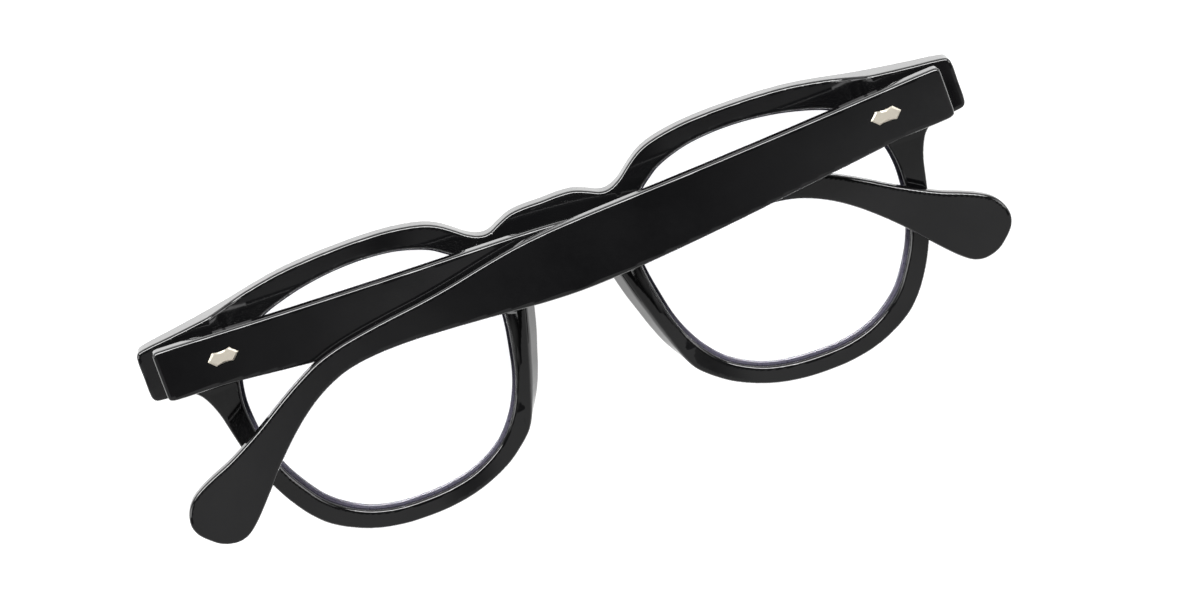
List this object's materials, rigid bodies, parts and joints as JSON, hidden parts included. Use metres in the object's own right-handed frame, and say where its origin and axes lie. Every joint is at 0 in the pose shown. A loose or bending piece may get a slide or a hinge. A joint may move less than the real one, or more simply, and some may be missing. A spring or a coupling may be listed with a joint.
{
  "type": "eyeglasses",
  "caption": "Folded full-rim acetate eyeglasses with rounded square lenses, rivet hinges, shield plaques and paddle-tipped arms.",
  "frame": {"origin": "middle of the outline, on the surface that the front of the rims lies on", "axes": "+X toward the wearer's right, +Y toward the brow, +Z toward the wearer, with the arms folded"},
  "size_m": [0.1441, 0.0479, 0.0205],
  "materials": {
    "black_acetate": "polished black cellulose acetate",
    "lens": "clear lens with a faint violet anti-reflection coating",
    "hinge_steel": "satin nickel-plated hinge leaf",
    "screw_steel": "bright stainless slotted screw",
    "plaque_metal": "satin champagne-silver plaque with a bright edge",
    "core_wire": "plain steel wire inside the arm"
  },
  "bodies": {
    "front": {"frame_front": "black_acetate", "nose_pad_left": "black_acetate", "nose_pad_right": "black_acetate", "lens_left": "lens", "lens_right": "lens", "front_hinge_left": "hinge_steel", "front_hinge_right": "hinge_steel", "hinge_screw_left": "screw_steel", "hinge_screw_right": "screw_steel", "front_plaque_left": "plaque_metal", "front_plaque_right": "plaque_metal"},
    "arm_left": {"temple_left": "black_acetate", "temple_core_left": "core_wire", "temple_hinge_left": "hinge_steel", "temple_plaque_left": "plaque_metal"},
    "arm_right": {"temple_right": "black_acetate", "temple_core_right": "core_wire", "temple_hinge_right": "hinge_steel", "temple_plaque_right": "plaque_metal"}
  },
  "joints": [
    {"name": "temple_left_hinge", "type": "hinge", "parent": "front", "child": "arm_left", "pos_m": [-0.06635, 0.01575, 0.0132], "axis": [0, -1, 0], "range_deg": [0, 92.6]},
    {"name": "temple_right_hinge", "type": "hinge", "parent": "front", "child": "arm_right", "pos_m": [0.06635, 0.01575, 0.0132], "axis": [0, 1, 0], "range_deg": [0, 88.7]}
  ]
}
